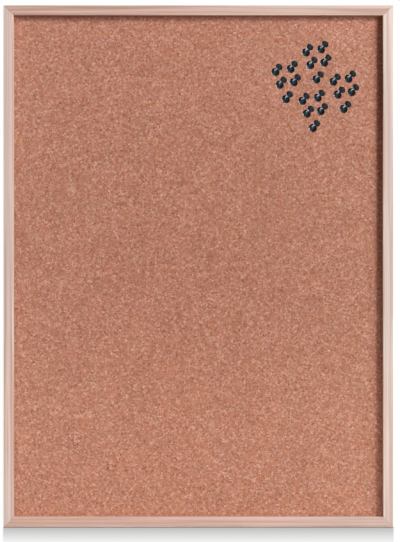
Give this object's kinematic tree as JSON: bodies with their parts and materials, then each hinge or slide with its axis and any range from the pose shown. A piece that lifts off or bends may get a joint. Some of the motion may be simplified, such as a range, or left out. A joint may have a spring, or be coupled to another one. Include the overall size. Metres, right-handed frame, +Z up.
{
  "type": "framed cork pin board",
  "caption": "Wall-hung cork pin board: mitred pine frame, cork sheet on a softboard core, sawtooth hangers behind, and black push pins that pull out.",
  "frame": {"origin": "on the wall plane (the back of the frame rails), on the line where the two hangers hang, midway between them", "axes": "+X to the right as seen from the front, +Y into the wall, +Z up"},
  "size_m": [0.448, 0.0284, 0.6],
  "materials": {
    "pine": "bare planed pine with softly rounded edges",
    "cork": "pressed granulated cork, matt",
    "softboard": "brown fibreboard, matt",
    "zinc_steel": "zinc-plated strip and wire",
    "black_plastic": "glossy moulded black plastic",
    "needle_steel": "bright drawn steel"
  },
  "bodies": {
    "board": {"rail_top": "pine", "rail_right": "pine", "rail_bottom": "pine", "rail_left": "pine", "v_nail_top_right": "zinc_steel", "v_nail_bottom_right": "zinc_steel", "v_nail_bottom_left": "zinc_steel", "v_nail_top_left": "zinc_steel", "cork_sheet": "cork", "softboard_core": "softboard", "hanger_left": "zinc_steel", "hanger_right": "zinc_steel", "hanger_nail_left_outer": "zinc_steel", "hanger_nail_left_inner": "zinc_steel", "hanger_nail_right_outer": "zinc_steel", "hanger_nail_right_inner": "zinc_steel"},
    "pin_01": {"pin_01_head": "black_plastic", "pin_01_needle": "needle_steel"},
    "pin_02": {"pin_02_head": "black_plastic", "pin_02_needle": "needle_steel"},
    "pin_03": {"pin_03_head": "black_plastic", "pin_03_needle": "needle_steel"},
    "pin_04": {"pin_04_head": "black_plastic", "pin_04_needle": "needle_steel"},
    "pin_05": {"pin_05_head": "black_plastic", "pin_05_needle": "needle_steel"},
    "pin_06": {"pin_06_head": "black_plastic", "pin_06_needle": "needle_steel"},
    "pin_07": {"pin_07_head": "black_plastic", "pin_07_needle": "needle_steel"},
    "pin_08": {"pin_08_head": "black_plastic", "pin_08_needle": "needle_steel"},
    "pin_09": {"pin_09_head": "black_plastic", "pin_09_needle": "needle_steel"},
    "pin_10": {"pin_10_head": "black_plastic", "pin_10_needle": "needle_steel"},
    "pin_11": {"pin_11_head": "black_plastic", "pin_11_needle": "needle_steel"},
    "pin_12": {"pin_12_head": "black_plastic", "pin_12_needle": "needle_steel"},
    "pin_13": {"pin_13_head": "black_plastic", "pin_13_needle": "needle_steel"},
    "pin_14": {"pin_14_head": "black_plastic", "pin_14_needle": "needle_steel"},
    "pin_15": {"pin_15_head": "black_plastic", "pin_15_needle": "needle_steel"},
    "pin_16": {"pin_16_head": "black_plastic", "pin_16_needle": "needle_steel"},
    "pin_17": {"pin_17_head": "black_plastic", "pin_17_needle": "needle_steel"},
    "pin_18": {"pin_18_head": "black_plastic", "pin_18_needle": "needle_steel"},
    "pin_19": {"pin_19_head": "black_plastic", "pin_19_needle": "needle_steel"},
    "pin_20": {"pin_20_head": "black_plastic", "pin_20_needle": "needle_steel"}
  },
  "joints": [
    {"name": "pin_01_pull", "type": "slide", "parent": "board", "child": "pin_01", "axis": [0.3396, -0.8616, 0.3772], "range_m": [0, 0.008]},
    {"name": "pin_02_pull", "type": "slide", "parent": "board", "child": "pin_02", "axis": [0.3396, -0.8616, 0.3772], "range_m": [0, 0.008]},
    {"name": "pin_03_pull", "type": "slide", "parent": "board", "child": "pin_03", "axis": [0.3396, -0.8616, 0.3772], "range_m": [0, 0.008]},
    {"name": "pin_04_pull", "type": "slide", "parent": "board", "child": "pin_04", "axis": [0.3396, -0.8616, 0.3772], "range_m": [0, 0.008]},
    {"name": "pin_05_pull", "type": "slide", "parent": "board", "child": "pin_05", "axis": [0.3396, -0.8616, 0.3772], "range_m": [0, 0.008]},
    {"name": "pin_06_pull", "type": "slide", "parent": "board", "child": "pin_06", "axis": [0.3396, -0.8616, 0.3772], "range_m": [0, 0.008]},
    {"name": "pin_07_pull", "type": "slide", "parent": "board", "child": "pin_07", "axis": [0.3396, -0.8616, 0.3772], "range_m": [0, 0.008]},
    {"name": "pin_08_pull", "type": "slide", "parent": "board", "child": "pin_08", "axis": [0.3396, -0.8616, 0.3772], "range_m": [0, 0.008]},
    {"name": "pin_09_pull", "type": "slide", "parent": "board", "child": "pin_09", "axis": [0.3396, -0.8616, 0.3772], "range_m": [0, 0.008]},
    {"name": "pin_10_pull", "type": "slide", "parent": "board", "child": "pin_10", "axis": [0.3396, -0.8616, 0.3772], "range_m": [0, 0.008]},
    {"name": "pin_11_pull", "type": "slide", "parent": "board", "child": "pin_11", "axis": [0.3396, -0.8616, 0.3772], "range_m": [0, 0.008]},
    {"name": "pin_12_pull", "type": "slide", "parent": "board", "child": "pin_12", "axis": [0.3396, -0.8616, 0.3772], "range_m": [0, 0.008]},
    {"name": "pin_13_pull", "type": "slide", "parent": "board", "child": "pin_13", "axis": [0.3396, -0.8616, 0.3772], "range_m": [0, 0.008]},
    {"name": "pin_14_pull", "type": "slide", "parent": "board", "child": "pin_14", "axis": [0.3396, -0.8616, 0.3772], "range_m": [0, 0.008]},
    {"name": "pin_15_pull", "type": "slide", "parent": "board", "child": "pin_15", "axis": [0.3396, -0.8616, 0.3772], "range_m": [0, 0.008]},
    {"name": "pin_16_pull", "type": "slide", "parent": "board", "child": "pin_16", "axis": [0.3396, -0.8616, 0.3772], "range_m": [0, 0.008]},
    {"name": "pin_17_pull", "type": "slide", "parent": "board", "child": "pin_17", "axis": [0.3396, -0.8616, 0.3772], "range_m": [0, 0.008]},
    {"name": "pin_18_pull", "type": "slide", "parent": "board", "child": "pin_18", "axis": [0.3396, -0.8616, 0.3772], "range_m": [0, 0.008]},
    {"name": "pin_19_pull", "type": "slide", "parent": "board", "child": "pin_19", "axis": [0.3396, -0.8616, 0.3772], "range_m": [0, 0.008]},
    {"name": "pin_20_pull", "type": "slide", "parent": "board", "child": "pin_20", "axis": [0.3396, -0.8616, 0.3772], "range_m": [0, 0.008]}
  ]
}
